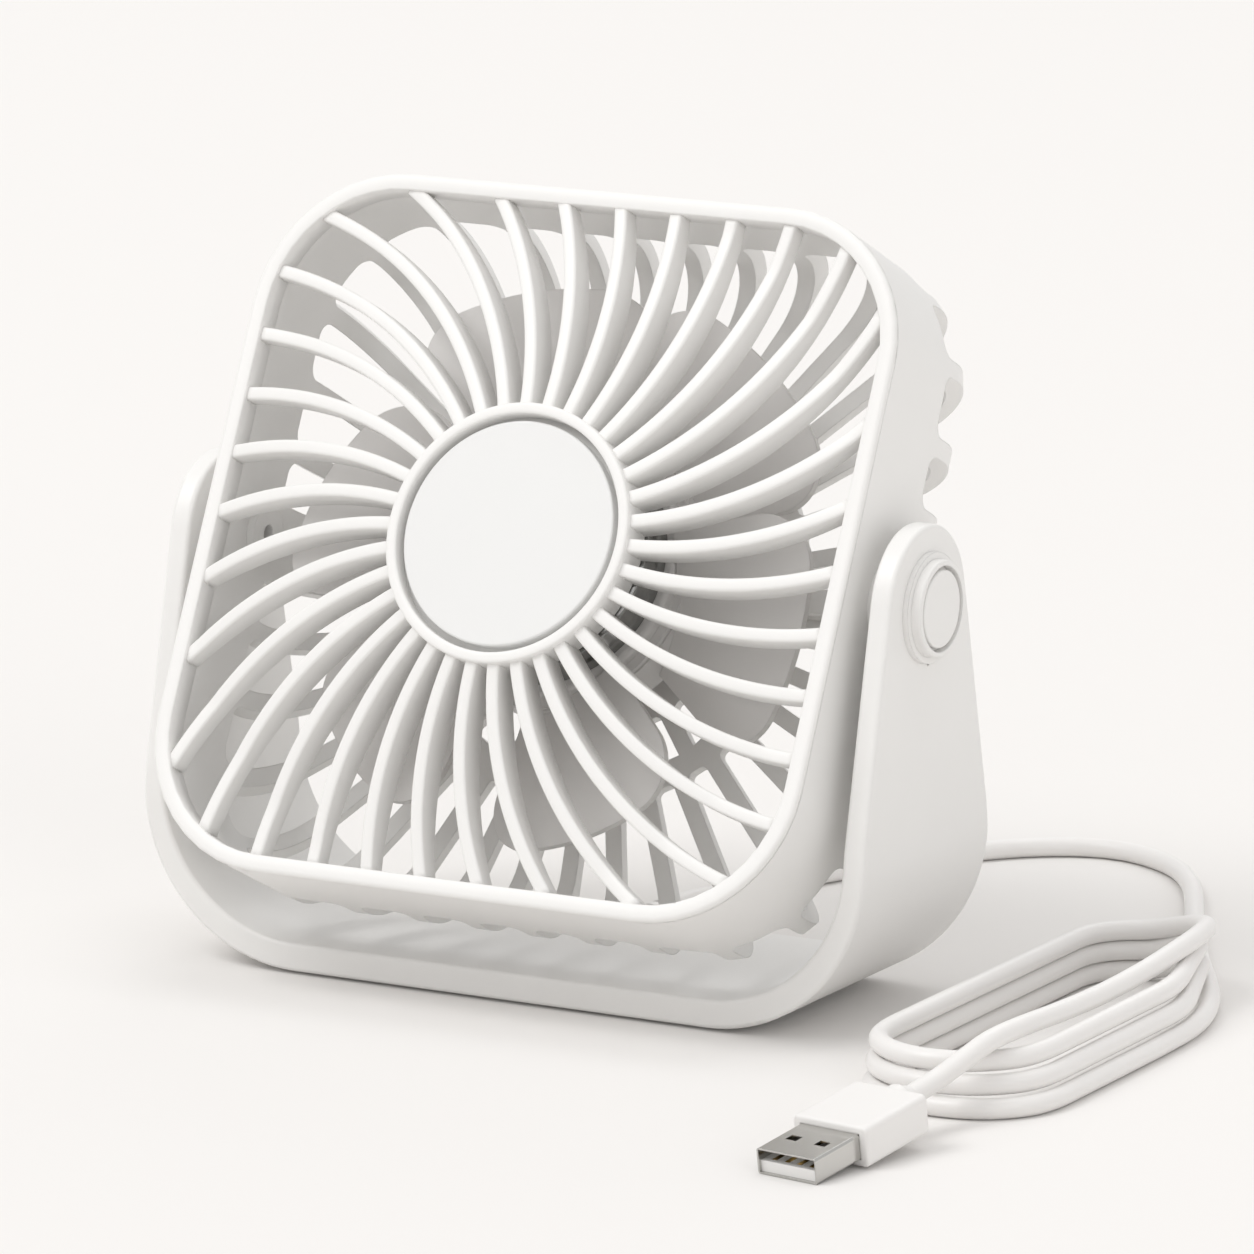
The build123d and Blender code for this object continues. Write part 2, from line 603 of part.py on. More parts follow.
def circuit_board():
    """Control board, held under the back plate between the posts."""
    board = disc(BOARD_R, BACK_N - 0.6 - BOARD_T, BACK_N - 0.6)
    board -= [disc(2.4 + SEAT, BACK_N - 3, BACK_N + 1, at) for at in screw_places()]
    spacers = [disc(1.2, BACK_N - 0.6, BACK_N, at) for at in ((9, 6), (-9, 6), (0, -8))]
    return HEAD * (board - block((9.5, 13.5), (-1.6, 1.6), (BACK_N - 3, BACK_N)) + spacers)


def tact_switch():
    """Push switch on the board, under the button."""
    low = BACK_N - 0.6 - BOARD_T
    return HEAD * (block((-3, 3), (-3, 3), (low - 2.8, low)) + disc(1.6, low - 3.4, low - 2.8))


def board_components():
    """Capacitor, driver chip, coil and lead socket soldered on the board."""
    low = BACK_N - 0.6 - BOARD_T
    pieces = [
        disc(2.5, low - 4.0, low, (-11.0, -1.3)),
        block((6.5, 10.5), (-10, -5), (low - 1.4, low)),
        block((-4.5, 0.5), (-12.5, -8.5), (low - 2.2, low)),
        block((-12, -7.5), (2, 6.5), (low - 1.8, low)),
    ]
    return HEAD * Compound(pieces)


def power_button():
    """Round push button with a retaining flange."""
    face_n = COVER_BACK_N - BUTTON_PROUD
    flange_n = COVER_BACK_N + COVER_T + SEAT
    button = disc(BUTTON_R, face_n, flange_n)
    button = fillet(button.edges().group_by(Axis.Z)[0], 0.5)
    return HEAD * (button + disc(BUTTON_FLANGE_R, flange_n, flange_n + BUTTON_FLANGE_T))


def head_lead():
    """Lead from the right pivot along a back bar to the control board."""
    bar_n = INNER_BACK_N + LEAD_D / 2
    points = [
        (HEAD_BOSS_X - SEAT, 0, 0),
        (HEAD_INNER_X - 4.2, 0, 0),
        (HEAD_INNER_X - SHOULDER_R - 1, 0, bar_n),
        (11.5, 0, bar_n),
        (11.5, 0, BACK_N - 1.4),
    ]
    path = FilletPolyline(*points, radius=[2.0, 2.0, 1.0])
    return HEAD * swept_tube(path, LEAD_D / 2)


# ---- Cord ------------------------------------------------------------------------------
def lead_route():
    """Cord on the desk, from the strain relief to the coil, chosen by hand."""
    exit_y = STAND_HALF_DEPTH + GLAND_TAIL
    floor = CORD_R + 0.05
    return [
        (0, exit_y, GLAND_Z),
        (0, exit_y + 10, GLAND_Z),
        (1.2, exit_y + 22, floor),
        (5.5, exit_y + 37, floor),
        (13, exit_y + 54, floor),
        (22, exit_y + 70, floor),
        (33, exit_y + 83, floor),
        (47, exit_y + 89, floor),
        (62, exit_y + 82, floor),
        (72, exit_y + 69, floor),
        (79, exit_y + 55, floor),
        (85.2, exit_y + 42, floor),
        (91.6, exit_y + 29.5, floor),
        (98, exit_y + 17.5, floor),
        (105, exit_y + 6, floor),
        (112.3, exit_y - 7.5, floor),
        (117, exit_y - 23, floor),
    ]


def tail_route():
    """Cord from the top turn's far end, across the coil and down to the plug."""
    top = CORD_D * (COIL_TURNS - 0.5) + 0.05
    over = CORD_D * (COIL_TURNS + 0.5) + 0.3
    relief_end = SHELL_L + GRIP_L + RELIEF_L
    ahead = tuple((PLUG * Pos(0, relief_end + 7, 0)).position)
    end = tuple((PLUG * Pos(0, relief_end, 0)).position)
    return [
        (91, 46.6, top),
        (101.2, 46.6, top),
        (108.4, 39.4, top + 0.2),
        (109.2, 26, top + 0.6),
        (109.9, 9, top + 1.4),
        (110.4, -8, top + 2.4),
        (110.6, -24, top + 3.4),
        (110.3, -38, over + 0.2),
        (109.8, -50.3, over + 0.3),
        (108.3, -57.2, over - 1.8),
        ahead,
        end,
    ]


def coil_layer(k):
    """Turn number k of the coil: centre, half width and the two ends in Y."""
    centre_x = 101.5 - 0.9 * k
    half_width = 17.2 - 0.9 * k
    near_y = -55.0 + 1.2 * k
    far_y = 47.0 - 0.2 * k
    return centre_x, half_width, near_y, far_y


def cable_coil():
    """Closed solid of the coil's outer shape: leaning oval turns on each other."""
    coil = None
    for k in range(COIL_TURNS):
        centre_x, half_width, near_y, far_y = coil_layer(k)
        length = far_y - near_y
        outer = SlotOverall(length + CORD_D, 2 * half_width + CORD_D, rotation=90 + COIL_LEAN)
        inner = SlotOverall(length - CORD_D, 2 * half_width - CORD_D, rotation=90 + COIL_LEAN)
        place = Pos(centre_x, (near_y + far_y) / 2, CORD_D * k + 0.05)
        layer = place * extrude(outer - inner, CORD_D)
        coil = layer if coil is None else coil + layer
    return coil


def plug_strain_relief():
    back = SHELL_L + GRIP_L
    neck = Rot(-90, 0, 0) * disc(3.2, back, back + 2.2)
    cone = Rot(-90, 0, 0) * Pos(0, 0, back + 2.2) * Cone(
        2.9, CORD_R + 0.3, RELIEF_L - 2.2, align=(Align.CENTER, Align.CENTER, Align.MIN)
    )
    return PLUG * (neck + cone)


def plug_overmold():
    """Moulded grip of the plug."""
    grip = block((-GRIP_W / 2, GRIP_W / 2), (SHELL_L, SHELL_L + GRIP_L), (-GRIP_H / 2, GRIP_H / 2))
    grip = fillet(grip.edges().filter_by(Axis.Y), 1.0)
    grip = fillet(grip.edges().group_by(Axis.Y)[-1] + grip.edges().group_by(Axis.Y)[0], 0.5)
    inside = (-SHELL_W / 2, SHELL_W / 2), (SHELL_L - 1, SHELL_L + 6), (-SHELL_H / 2, SHELL_H / 2)
    return PLUG * (grip - block(*inside))


def plug_shell():
    """Folded steel shell with two latch windows above and below."""
    outside = block((-SHELL_W / 2, SHELL_W / 2), (0, SHELL_L + 6), (-SHELL_H / 2, SHELL_H / 2))
    outside = fillet(outside.edges().filter_by(Axis.Y), 0.5)
    in_w = SHELL_W / 2 - SHELL_T
    in_h = SHELL_H / 2 - SHELL_T
    shell = outside - block((-in_w, in_w), (-1, SHELL_L + 7), (-in_h, in_h))
    for side in (-1, 1):
        x = 2.9 * side
        shell -= block((x - 1.1, x + 1.1), (5.2, 7.2), (-SHELL_H, SHELL_H))
    return PLUG * shell


def plug_tongue():
    """Insulator with the contact face up."""
    in_w = SHELL_W / 2 - SHELL_T
    floor = -SHELL_H / 2 + SHELL_T
    tongue = block((-in_w, in_w), (0.6, SHELL_L + 6), (floor, floor + 1.9))
    for k in range(4):
        x = -3.75 + 2.5 * k
        tongue -= block((x - 0.55, x + 0.55), (1.6, SHELL_L), (floor + 1.6, floor + 2.5))
    return PLUG * tongue


def plug_contacts():
    """Gold contacts in the insulator's grooves."""
    floor = -SHELL_H / 2 + SHELL_T
    strips = []
    for k in range(4):
        x = -3.75 + 2.5 * k
        strips.append(block((x - 0.5, x + 0.5), (1.8, SHELL_L - 0.2), (floor + 1.6, floor + 1.85)))
    return PLUG * Compound(strips)


# ---- Build and write every piece --------------------------------------------------------
right_cap = along_x(pivot_cap())
right_bush = along_x(pivot_bush())
pieces = {
    "stand_frame": stand_frame(),
    "foot_pad": pad_solid(0),
    "pivot_washers": pivot_washers(),
    "pivot_cap_right": right_cap,
    "pivot_cap_left": mirror(right_cap, Plane.YZ),
    "inner_lead": swept_tube(lead_path(), LEAD_D / 2),
    "cable_gland": gland_solid(0),
    "cable_lead": cord_tube("cable_lead", lead_route()),
    "cable_coil": cable_coil(),
    "cable_tail": cord_tube("cable_tail", tail_route()),
    "plug_strain_relief": plug_strain_relief(),
    "plug_overmold": plug_overmold(),
    "plug_shell": plug_shell(),
    "plug_tongue": plug_tongue(),
    "plug_contacts": plug_contacts(),
    "housing": housing(),
    "front_grille": front_grille(),
    "hub_cap": hub_cap(),
    "pivot_bush_right": right_bush,
    "pivot_bush_left": mirror(right_bush, Plane.YZ),
    "pivot_clips": pivot_clips(),
    "motor_cover": motor_cover(),
    "cover_screws": cover_screws(),
    "circuit_board": circuit_board(),
    "tact_switch": tact_switch(),
    "board_components": board_components(),
    "head_lead": head_lead(),
    "bearing_tube": bearing_tube(),
    "rear_bearing": bearing(INNER_BACK_N + 2.4),
    "front_bearing": bearing(6.3 - BEARING_L),
    "stator_core": stator_core(),
    "stator_coils": stator_coils(),
    "driver_board": driver_board(),
    "impeller": impeller(),
    "rotor_can": rotor_can(),
    "ring_magnet": ring_magnet(),
    "motor_shaft": motor_shaft(),
    "shaft_clip": shaft_clip(),
    "power_button": power_button(),
}

os.makedirs("parts", exist_ok=True)
for name, solid in pieces.items():
    export_step(solid, f"parts/{name}.step")
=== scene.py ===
from math import cos, hypot, pi, radians, sin, sqrt

import bmesh
import bpy
from mathutils import Matrix, Vector


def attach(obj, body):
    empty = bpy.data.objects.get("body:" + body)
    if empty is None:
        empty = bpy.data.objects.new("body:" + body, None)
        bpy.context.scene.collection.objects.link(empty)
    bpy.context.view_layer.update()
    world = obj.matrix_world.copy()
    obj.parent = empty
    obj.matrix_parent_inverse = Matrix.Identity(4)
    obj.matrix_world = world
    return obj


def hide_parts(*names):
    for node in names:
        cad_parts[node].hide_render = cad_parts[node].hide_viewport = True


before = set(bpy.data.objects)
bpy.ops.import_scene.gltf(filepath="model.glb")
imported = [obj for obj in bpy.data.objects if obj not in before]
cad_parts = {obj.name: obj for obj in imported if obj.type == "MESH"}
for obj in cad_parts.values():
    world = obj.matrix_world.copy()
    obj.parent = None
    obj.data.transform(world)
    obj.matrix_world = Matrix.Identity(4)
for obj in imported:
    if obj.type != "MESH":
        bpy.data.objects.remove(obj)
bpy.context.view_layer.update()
MM = 0.001

# ---- Camera ---------------------------------------------------------------------
# A long lens, a little above the desk and well round to the fan's left side, so
# that the face, one arm of the stand and the cord beside it all show.
AZIMUTH = radians(28.955)
ELEVATION = radians(12.0)
DISTANCE = 1.6299
LOOK_AT = Vector((0.01292, 0.0, 0.0640))
LENS_MM = 267.8

back = Vector((
    sin(AZIMUTH) * cos(ELEVATION),
    -cos(AZIMUTH) * cos(ELEVATION),
    sin(ELEVATION),
))
camera_data = bpy.data.cameras.new("camera")
camera_data.lens = LENS_MM
camera_data.sensor_width = 36.0
camera_data.clip_start = 0.05
camera_data.clip_end = 50.0
camera = bpy.data.objects.new("camera", camera_data)
camera.location = LOOK_AT + DISTANCE * back
camera.rotation_euler = back.to_track_quat("Z", "Y").to_euler()
bpy.context.collection.objects.link(camera)
bpy.context.scene.camera = camera

# ---- Materials --------------------------------------------------------------------
# Every colour is an sRGB hex value, and every pattern is scaled in millimetres.
def linear(hex_colour):
    """An sRGB hex colour as a linear RGBA tuple."""
    channels = [int(hex_colour[i:i + 2], 16) / 255 for i in (1, 3, 5)]
    return tuple(
        c / 12.92 if c <= 0.04045 else ((c + 0.055) / 1.055) ** 2.4 for c in channels
    ) + (1.0,)


def add(tree, kind, sockets, **settings):
    """Adds one shader node, with its settings, and its sockets' values and links."""
    made = tree.nodes.new("ShaderNode" + kind)
    for name, value in settings.items():
        setattr(made, name, value)
    for name, value in sockets.items():
        if isinstance(value, bpy.types.NodeSocket):
            tree.links.new(value, made.inputs[name])
        else:
            made.inputs[name].default_value = value
    return made


def start_material(name):
    """An empty node material, its object coordinates in millimetres, and its output."""
    material = bpy.data.materials.new(name)
    material.use_nodes = True
    tree = material.node_tree
    tree.nodes.clear()
    place = add(tree, "TexCoord", {})
    scaled = add(tree, "VectorMath", {0: place.outputs["Object"], "Scale": 1000.0}, operation="SCALE")
    output = add(tree, "OutputMaterial", {})
    return material, tree, scaled.outputs["Vector"], output


def moulded(name, colour, roughness, ior=1.53, grain=0.35, depth=0.004, edge=0.25,
            see_through=0.0, mottling=0.012, softness=0.0):
    """A moulded plastic or rubber: fine grain, slightly uneven gloss, soft edges."""
    material, tree, place, output = start_material(name)
    grains = add(tree, "TexNoise", {"Vector": place, "Scale": 1 / grain, "Detail": 3.0, "Roughness": 0.6})
    clouds = add(tree, "TexNoise", {"Vector": place, "Scale": 1 / 18.0, "Detail": 2.0})
    gloss = add(tree, "MapRange", {
        "Value": clouds.outputs["Fac"],
        "To Min": roughness - 0.04,
        "To Max": roughness + 0.04,
    })
    base = linear(colour)
    shade = add(tree, "MapRange", {
        "Value": clouds.outputs["Fac"],
        "To Min": 1 - mottling,
        "To Max": 1 + mottling,
    })
    tint = add(tree, "VectorMath", {0: base[:3], "Scale": shade.outputs["Result"]}, operation="SCALE")
    rounded = add(tree, "Bevel", {"Radius": edge * MM}, samples=4)
    bump = add(tree, "Bump", {
        "Height": grains.outputs["Fac"],
        "Distance": depth * MM,
        "Strength": 0.6,
        "Normal": rounded.outputs["Normal"],
    })
    skin = add(tree, "BsdfPrincipled", {
        "Base Color": tint.outputs["Vector"],
        "Roughness": gloss.outputs["Result"],
        "IOR": ior,
        "Normal": bump.outputs["Normal"],
        "Subsurface Weight": softness,
        "Subsurface Radius": (0.0012, 0.0011, 0.0010),
        "Subsurface Scale": 1.0,
    })
    surface = skin.outputs["BSDF"]
    if see_through:
        through = add(tree, "BsdfTranslucent", {"Color": base})
        surface = add(tree, "MixShader", {
            0: see_through,
            1: surface,
            2: through.outputs["BSDF"],
        }).outputs["Shader"]
    tree.links.new(surface, output.inputs["Surface"])
    return material


def metal(name, colour, roughness, across=0.08, along=6.0, axis=2, depth=0.001, edge=0.12):
    """A metal with fine lines along one axis, from drawing, rolling or turning."""
    material, tree, place, output = start_material(name)
    stretch = [1 / across] * 3
    stretch[axis] = 1 / along
    lines_at = add(tree, "VectorMath", {0: place, 1: stretch}, operation="MULTIPLY")
    lines = add(tree, "TexNoise", {"Vector": lines_at.outputs["Vector"], "Scale": 1.0, "Detail": 2.0})
    gloss = add(tree, "MapRange", {
        "Value": lines.outputs["Fac"],
        "To Min": roughness * 0.8,
        "To Max": roughness * 1.25,
    })
    rounded = add(tree, "Bevel", {"Radius": edge * MM}, samples=4)
    bump = add(tree, "Bump", {
        "Height": lines.outputs["Fac"],
        "Distance": depth * MM,
        "Strength": 0.5,
        "Normal": rounded.outputs["Normal"],
    })
    skin = add(tree, "BsdfPrincipled", {
        "Base Color": linear(colour),
        "Metallic": 1.0,
        "Roughness": gloss.outputs["Result"],
        "Normal": bump.outputs["Normal"],
    })
    tree.links.new(skin.outputs["BSDF"], output.inputs["Surface"])
    return material


white_abs = moulded("satin_white_abs", "#f0efed", 0.40, edge=0.35)
rib_abs = moulded("satin_white_abs_ribs", "#f1f0ee", 0.42, edge=0.1)
cap_abs = moulded("satin_cool_white_abs", "#e9e9e8", 0.38, edge=0.2)
blade_pp = moulded("blade_polypropylene", "#eceae8", 0.34, ior=1.49, see_through=0.22, edge=0.4)
cord_pvc = moulded("soft_pvc_jacket", "#eeecea", 0.36, ior=1.52, grain=0.5, depth=0.006, softness=0.05)
plug_pvc = moulded("plug_pvc", "#f0eeec", 0.36, ior=1.52, grain=0.5, edge=0.5)
pad_rubber = moulded("silicone_foot_rubber", "#c9c7c3", 0.62, ior=1.41, grain=0.8, depth=0.02)
wire_pvc = moulded("wire_insulation", "#e6e4e1", 0.40)
nylon = moulded("natural_nylon", "#dddad2", 0.45, ior=1.53, see_through=0.1)
tongue_lcp = moulded("white_tongue_plastic", "#efeeec", 0.40, edge=0.08)
switch_black = moulded("switch_plastic", "#1c1c1d", 0.45)
component_black = moulded("component_epoxy", "#2b2927", 0.50)
ferrite = moulded("bonded_ferrite", "#26262a", 0.60, ior=2.0, grain=0.6, depth=0.03)
laminate = moulded("green_solder_mask", "#1d5a3a", 0.32, ior=1.55, grain=1.2, depth=0.01)
nickel = metal("nickel_plated_steel", "#c9c8c5", 0.20, across=0.05, along=4.0, axis=1)
can_steel = metal("polished_drawn_steel", "#a3a3a2", 0.11, across=0.1, along=20.0, axis=0)
bright_steel = metal("bright_zinc_steel", "#c2c3c4", 0.24)
core_steel = metal("electrical_steel", "#8c8d90", 0.42, across=0.3, along=8.0)
bronze = metal("sintered_bronze", "#a8753f", 0.48, across=0.2, along=0.2)
copper = metal("enamelled_copper", "#b4622f", 0.26, across=0.25, along=6.0)
gold = metal("gold_flash", "#d9b25a", 0.22)

finishes = {
    "stand_frame": white_abs,
    "housing": white_abs,
    "front_grille": rib_abs,
    "motor_cover": white_abs,
    "pivot_cap_right": white_abs,
    "pivot_cap_left": white_abs,
    "pivot_washers": white_abs,
    "pivot_bush_right": white_abs,
    "pivot_bush_left": white_abs,
    "hub_cap": cap_abs,
    "power_button": cap_abs,
    "foot_pad": pad_rubber,
    "impeller": blade_pp,
    "inner_lead": wire_pvc,
    "head_lead": wire_pvc,
    "cable_gland": cord_pvc,
    "cable_lead": cord_pvc,
    "cable_coil": cord_pvc,
    "cable_tail": cord_pvc,
    "plug_strain_relief": plug_pvc,
    "plug_overmold": plug_pvc,
    "plug_shell": nickel,
    "plug_tongue": tongue_lcp,
    "plug_contacts": gold,
    "pivot_clips": bright_steel,
    "cover_screws": bright_steel,
    "motor_shaft": bright_steel,
    "shaft_clip": bright_steel,
    "rotor_can": can_steel,
    "ring_magnet": ferrite,
    "bearing_tube": nylon,
    "rear_bearing": bronze,
    "front_bearing": bronze,
    "stator_core": core_steel,
    "stator_coils": copper,
    "circuit_board": laminate,
    "driver_board": laminate,
    "tact_switch": switch_black,
    "board_components": component_black,
}
for node, finish in finishes.items():
    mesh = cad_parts[node].data
    mesh.materials.clear()
    mesh.materials.append(finish)

# ---- Cord ------------------------------------------------------------------------
# One smooth spline: out of the relief at the back of the base, round behind the
# stand, three stacked turns, then over the coil and down to the plug.
CORD_R = 1.8
TURNS = 3
LAYER = 2 * CORD_R
ON_DESK = CORD_R + 0.05
COIL_LEFT, COIL_RIGHT, COIL_RIGHT_STEP = 84.2, 117.5, 1.8
COIL_NEAR, COIL_NEAR_STEP, COIL_FAR = -54.8, 1.2, 46.5
NEAR_CORNER_R = 15
FAR_CORNER_R = 12
TAPER_X, TAPER_Y = 103, 12
CLIMB_X, CLIMB_Z = 99, 1.75
PLUG_TIP = Vector((99.0, -102.0, 2.27))
PLUG_TURN = radians(-9.0)
PLUG_NOSE_DOWN = radians(8.0)
RELIEF_END = 33.5


def plug_point(along):
    """A point on the plug's axis, so far behind its tip."""
    direction = Vector((
        -sin(PLUG_TURN) * cos(PLUG_NOSE_DOWN),
        cos(PLUG_TURN) * cos(PLUG_NOSE_DOWN),
        sin(PLUG_NOSE_DOWN),
    ))
    return PLUG_TIP + along * direction


def corner_points(x, y, radius, first, z):
    """Three control points round a quarter turn that starts at this angle, clockwise."""
    reach = radius / cos(pi / 12)
    turns = [radians(first - step) for step in (15, 45, 75)]
    return [(x + reach * cos(a), y + reach * sin(a), z) for a in turns]


def coil_points():
    """The coil's turns: right side, near end, left side, then up and over the lead."""
    points = []
    left, far = COIL_LEFT, COIL_FAR
    for k in range(TURNS):
        right = COIL_RIGHT - COIL_RIGHT_STEP * k
        near = COIL_NEAR + COIL_NEAR_STEP * k
        z = ON_DESK + LAYER * k
        points += [(right, -2, z), (right, -16, z), (right, near + 25, z)]
        points += corner_points(right - NEAR_CORNER_R, near + NEAR_CORNER_R, NEAR_CORNER_R, 0, z)
        points += corner_points(left + NEAR_CORNER_R, near + NEAR_CORNER_R, NEAR_CORNER_R, -90, z)
        points += [(left, near + 25, z), (left, -8, z), (left, 12, z), (left, 29.5, z)]
        points += corner_points(left + FAR_CORNER_R, far - FAR_CORNER_R, FAR_CORNER_R, 180, z)
        if k < TURNS - 1:
            end = Vector((right - COIL_RIGHT_STEP - TAPER_X, TAPER_Y - far, 0))
            along = end.normalized()
            points.append((CLIMB_X, far, z + CLIMB_Z))
            for reach in (4, 11, 22, end.length):
                points.append((TAPER_X + reach * along.x, far + reach * along.y, z + LAYER))
    return points


lead_points = [
    (0, 38, 3.7),
    (0, 48, 3.7),
    (1.2, 60, 1.85),
    (5.5, 75, 1.85),
    (13, 92, 1.85),
    (22, 108, 1.85),
    (33, 121, 1.85),
    (47, 127, 1.85),
    (62, 120, 1.85),
    (72, 107, 1.85),
    (79, 93, 1.85),
    (85.2, 80, 1.85),
    (91.6, 67.5, 1.85),
    (98, 55.5, 1.85),
    (105, 44, 1.85),
    (112.3, 30.5, 1.85),
    (117, 15, 1.85),
]
tail_points = [
    (100.5, 46.5, 10.9),
    (106.8, 41, 12.7),
    (108.4, 33, 12.8),
    (109.2, 24, 12.6),
    (109.9, 9, 12.0),
    (110.4, -8, 11.9),
    (110.6, -24, 12.4),
    (110.3, -38, 13.1),
    (109.8, -50.3, 13.2),
    (108.3, -57.2, 11.1),
    tuple(plug_point(RELIEF_END + 7)),
    tuple(plug_point(RELIEF_END)),
]


def smooth_curve(name, points, radius):
    """A round cord along one NURBS spline with these control points, in millimetres."""
    curve = bpy.data.curves.new(name, "CURVE")
    curve.dimensions = "3D"
    curve.bevel_depth = radius * MM
    curve.bevel_resolution = 6
    curve.resolution_u = 8
    curve.use_fill_caps = True
    spline = curve.splines.new("NURBS")
    spline.points.add(len(points) - 1)
    for point, place in zip(spline.points, points):
        point.co = (*(Vector(place) * MM), 1.0)
    spline.order_u = 3
    spline.use_endpoint_u = True
    made = bpy.data.objects.new(name, curve)
    bpy.context.collection.objects.link(made)
    return made


cord = smooth_curve("cord", lead_points + coil_points() + tail_points, CORD_R)
cord.data.materials.append(cord_pvc)
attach(cord, "stand")
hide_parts("cable_lead", "cable_coil", "cable_tail")

# ---- Front grille ribs, bezel and hub ring -------------------------------------------
# Thirty-four spiral ribs with rounded fronts run from a proud hub ring into the
# bezel, whose spigot plugs into the housing. It is all one moulding.
LEAN = radians(26.0)
HEAD = Matrix((
    (1.0, 0.0, 0.0, 0.0),
    (0.0, sin(LEAN), -cos(LEAN), 0.0),
    (0.0, cos(LEAN), sin(LEAN), 0.0735),
    (0.0, 0.0, 0.0, 1.0),
))
HEAD_W = 128.0
HEAD_R = 26.2
FACE_N = 17.0
BEZEL_T = 3.0
BEZEL_DEPTH = 5.0
RIB_SET_BACK = 0.7
SPIGOT_IN = 1.9
SEAM_N = FACE_N - 1.15
SPIGOT_N = FACE_N - BEZEL_DEPTH + 0.1
EDGE_R = 0.8
RIB_COUNT = 34
RIB_W = 2.4
RIB_SWEEP_R = 70.0
HUB_RING_R = 23.5
HUB_RING_T = 2.0
HUB_FACE_N = FACE_N + 5.3
HUB_RING_EDGE = 0.55
HUB_SKIRT_N = 15.0
RIB_STEPS = 36
RIB_EDGE = 0.55
RIB_START = radians(0.8)


def build(name, material, make, body, replaced):
    """A mesh object that make fills in head millimetres, placed, shaded and riding on a body."""
    mesh = bpy.data.meshes.new(name)
    shape = bmesh.new()
    make(shape)
    bmesh.ops.recalc_face_normals(shape, faces=shape.faces)
    for face in shape.faces:
        face.smooth = True
    shape.transform(HEAD @ Matrix.Scale(MM, 4))
    shape.to_mesh(mesh)
    shape.free()
    mesh.materials.append(material)
    made = bpy.data.objects.new(name, mesh)
    bpy.context.collection.objects.link(made)
    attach(made, body)
    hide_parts(*replaced)
    return made


def skin(shape, rings):
    """Joins rings of points into a skin, and closes its two ends."""
    loops = [[shape.verts.new(p) for p in ring] for ring in rings]
    for a, b in zip(loops, loops[1:]):
        count = len(a)
        for i in range(count):
            j = (i + 1) % count
            shape.faces.new((a[i], a[j], b[j], b[i]))
    shape.faces.new(loops[0][::-1])
    shape.faces.new(loops[-1])


def arc_through(p0, p1, p2):
    """Height as a function of radius, on the circle through three (radius, height) points."""
    (x0, y0), (x1, y1), (x2, y2) = p0, p1, p2
    d = 2 * (x0 * (y1 - y2) + x1 * (y2 - y0) + x2 * (y0 - y1))
    cx = ((x0**2 + y0**2) * (y1 - y2) + (x1**2 + y1**2) * (y2 - y0) + (x2**2 + y2**2) * (y0 - y1)) / d
    cy = ((x0**2 + y0**2) * (x2 - x1) + (x1**2 + y1**2) * (x0 - x2) + (x2**2 + y2**2) * (x1 - x0)) / d
    r = hypot(x0 - cx, y0 - cy)
    sign = 1.0 if y1 > cy else -1.0
    return lambda x: cy + sign * sqrt(max(0.0, r * r - (x - cx) ** 2))


hub_edge_r = HUB_RING_R - HUB_RING_T
wall_r = HEAD_W / 2
front_wall = FACE_N - RIB_SET_BACK
back_wall = FACE_N - BEZEL_DEPTH + 0.4
mid_r = (hub_edge_r + wall_r) / 2
rib_front = arc_through(
    (hub_edge_r, HUB_FACE_N - 1.0),
    (mid_r, (HUB_FACE_N - 1.0 + front_wall) / 2 + 0.5),
    (wall_r, front_wall),
)
rib_back = arc_through(
    (wall_r, back_wall),
    (mid_r, (back_wall + HUB_SKIRT_N) / 2 - 0.6),
    (hub_edge_r, HUB_SKIRT_N),
)


def in_rim(x, y):
    """How far a point lies inside the rounded square that the ribs end on."""
    half = (HEAD_W - 2 * BEZEL_T + 0.8) / 2
    corner = HEAD_R - BEZEL_T + 0.4
    dx = abs(x) - (half - corner)
    dy = abs(y) - (half - corner)
    outside = hypot(max(dx, 0.0), max(dy, 0.0)) + min(max(dx, dy), 0.0)
    return corner - outside


def rib_rings(turn):
    """Cross-sections of one rib, from inside the hub ring to the bezel."""
    start = HUB_RING_R - HUB_RING_T / 2
    centre = Vector((start, RIB_SWEEP_R, 0))

    def at(sweep):
        return centre + RIB_SWEEP_R * Vector((sin(sweep), -cos(sweep), 0))

    spin = Matrix.Rotation(turn, 3, "Z")
    low, high = 0.2, radians(60)
    for _ in range(40):
        middle = (low + high) / 2
        place = spin @ at(middle)
        if in_rim(place.x, place.y) > 0:
            low = middle
        else:
            high = middle
    rings = []
    for i in range(RIB_STEPS + 1):
        sweep = low * i / RIB_STEPS
        place = at(sweep)
        side = Vector((sin(sweep), -cos(sweep), 0))
        radius = min(max(hypot(place.x, place.y), hub_edge_r), wall_r)
        front, rear = rib_front(radius), rib_back(radius)
        if hypot(place.x, place.y) > wall_r:
            front, rear = front_wall, back_wall
        half = RIB_W / 2
        section = []
        for a in (0, pi / 8, pi / 4, 3 * pi / 8, pi / 2):
            section.append((half - RIB_EDGE + RIB_EDGE * cos(a), front - RIB_EDGE + RIB_EDGE * sin(a)))
        section += [(-x, z) for x, z in reversed(section)]
        small = 0.35
        lower = []
        for a in (0, pi / 4, pi / 2):
            lower.append((half - small + small * cos(a), rear + small - small * sin(a)))
        section += [(-x, z) for x, z in lower] + [(x, z) for x, z in reversed(lower)]
        rings.append([spin @ (place + side * x + Vector((0, 0, z))) for x, z in section])
    return rings


